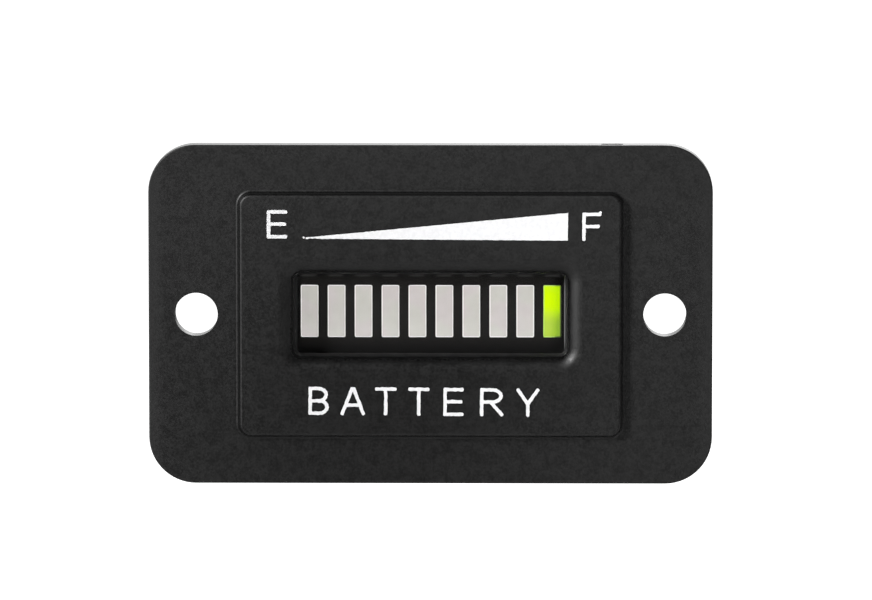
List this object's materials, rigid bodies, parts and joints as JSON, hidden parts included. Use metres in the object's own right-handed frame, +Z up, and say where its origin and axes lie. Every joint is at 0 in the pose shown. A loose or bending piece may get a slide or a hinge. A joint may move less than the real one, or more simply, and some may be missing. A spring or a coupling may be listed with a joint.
{
  "type": "battery level gauge",
  "caption": "Panel-mount battery level gauge: a flanged black housing with a raised face, a bar display in a recessed window, screw holes at both sides and blade terminals behind.",
  "frame": {"origin": "midpoint between the two mounting holes, on the back plane of the flange", "axes": "+X to the right of someone who faces the gauge, +Y back through the panel along the mounting holes, +Z up; the front faces -Y"},
  "size_m": [0.0576, 0.0301, 0.0346],
  "materials": {
    "housing_plastic": "fine moulded grain, black",
    "clear_lens": "clear polished plastic",
    "display_plastic": "moulded white, with a black printed face round the bars",
    "bar_unlit": "frosted diffusing resin",
    "bar_lit": "frosted diffusing resin, lit yellow-green",
    "carrier_board": "pale laminate",
    "die": "polished",
    "tinned_metal": "bright tinned",
    "board_laminate": "green solder mask",
    "screw_steel": "zinc plated",
    "chip_plastic": "moulded, fine matte",
    "capacitor_can": "bright drawn can",
    "resistor_film": "glazed black",
    "capacitor_ceramic": "fired tan",
    "trimmer_plastic": "moulded blue",
    "rotor_plastic": "moulded white",
    "terminal_brass": "tin-plated brass",
    "cover_plastic": "fine moulded grain, black"
  },
  "bodies": {
    "gauge": {"front_housing": "housing_plastic", "window_lens": "clear_lens", "display_body": "display_plastic", "display_substrate": "carrier_board", "led_dies": "die", "display_pins": "tinned_metal", "circuit_board": "board_laminate", "board_screws": "screw_steel", "driver_chip": "chip_plastic", "driver_chip_leads": "tinned_metal", "regulator_body": "chip_plastic", "regulator_tabs": "tinned_metal", "protection_diode": "chip_plastic", "diode_tabs": "tinned_metal", "supply_capacitor": "capacitor_can", "capacitor_base": "chip_plastic", "chip_resistors": "resistor_film", "resistor_caps": "tinned_metal", "ceramic_capacitors": "capacitor_ceramic", "capacitor_caps": "tinned_metal", "trimmer_body": "trimmer_plastic", "trimmer_tabs": "tinned_metal", "terminal_positive": "terminal_brass", "terminal_negative": "terminal_brass", "back_cover": "cover_plastic", "cover_screws": "screw_steel", "bar_segment_01": "bar_unlit", "bar_segment_02": "bar_unlit", "bar_segment_03": "bar_unlit", "bar_segment_04": "bar_unlit", "bar_segment_05": "bar_unlit", "bar_segment_06": "bar_unlit", "bar_segment_07": "bar_unlit", "bar_segment_08": "bar_unlit", "bar_segment_09": "bar_unlit", "bar_segment_10": "bar_lit"},
    "calibration_rotor": {"trimmer_rotor": "rotor_plastic"}
  },
  "joints": [
    {"name": "calibration_trim", "type": "hinge", "parent": "gauge", "child": "calibration_rotor", "pos_m": [0.0072, 0.0116, 0.0071], "axis": [0, 1, 0], "range_deg": [-130, 130]}
  ]
}
